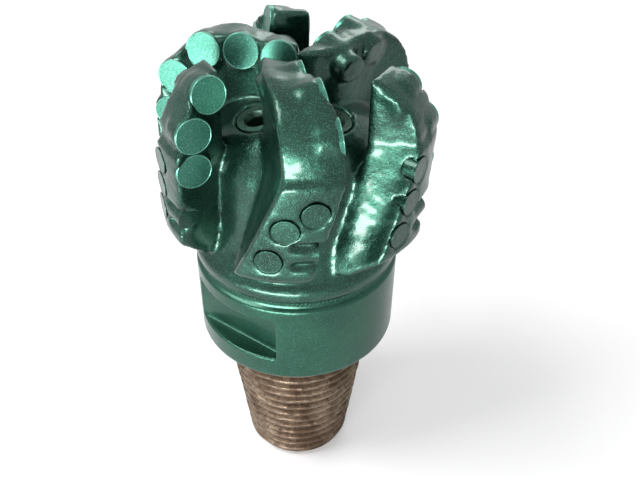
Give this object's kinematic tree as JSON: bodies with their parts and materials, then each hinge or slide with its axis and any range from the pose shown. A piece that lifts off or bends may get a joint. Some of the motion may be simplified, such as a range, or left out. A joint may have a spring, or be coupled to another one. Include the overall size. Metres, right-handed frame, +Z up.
{
  "type": "pdc drill bit",
  "caption": "Fixed-cutter drill bit: spiral blades with round flat cutters and gauge pads on a painted crown, slotted collar and tapered threaded pin.",
  "frame": {"origin": "centre of the water bore at the pin's end face", "axes": "+Z up the bit's axis to the cutting face; +X and +Y across, blades placed by azimuth counter-clockwise from +X"},
  "size_m": [0.1069, 0.1078, 0.2072],
  "materials": {
    "painted_body": "glossy metallic dark green paint, thick over rounded edges",
    "painted_weld": "glossy metallic green paint over a weld bead",
    "painted_insert": "glossy green paint over flush carbide discs",
    "cutter": "pale metallic green paint over flat polished discs",
    "shank_steel": "green paint on the collar, bare rust-stained steel on the threaded pin",
    "nozzle_carbide": "dull grey carbide",
    "seal_rubber": "black rubber ring"
  },
  "bodies": {
    "root": {"bit_body": "painted_body", "cutter_a1": "cutter", "cutter_a2": "cutter", "cutter_a3": "cutter", "cutter_a4": "cutter", "cutter_a5": "cutter", "cutter_a6": "cutter", "cutter_a7": "cutter", "cutter_b1": "cutter", "cutter_b2": "cutter", "cutter_b3": "cutter", "cutter_c1": "cutter", "cutter_c2": "cutter", "cutter_c3": "cutter", "cutter_d1": "cutter", "cutter_d2": "cutter", "cutter_d3": "cutter", "cutter_e1": "cutter", "cutter_e2": "cutter", "cutter_e3": "cutter", "cutter_e4": "cutter", "cutter_e5": "cutter", "cutter_f1": "cutter", "cutter_f2": "cutter", "cutter_f3": "cutter", "cutter_f4": "cutter", "gauge_inserts_a": "painted_insert", "gauge_inserts_b": "painted_insert", "gauge_inserts_c": "painted_insert", "gauge_inserts_d": "painted_insert", "gauge_inserts_e": "painted_insert", "gauge_inserts_f": "painted_insert", "nozzle_1": "nozzle_carbide", "nozzle_2": "nozzle_carbide", "nozzle_3": "nozzle_carbide", "nozzle_seal_1": "seal_rubber", "nozzle_seal_2": "seal_rubber", "nozzle_seal_3": "seal_rubber", "shank": "shank_steel", "updrill_cutter_a": "cutter", "updrill_cutter_b": "cutter", "updrill_cutter_c": "cutter", "updrill_cutter_d": "cutter", "updrill_cutter_e": "cutter", "updrill_cutter_f": "cutter", "weld_bead": "painted_weld"}
  },
  "joints": []
}
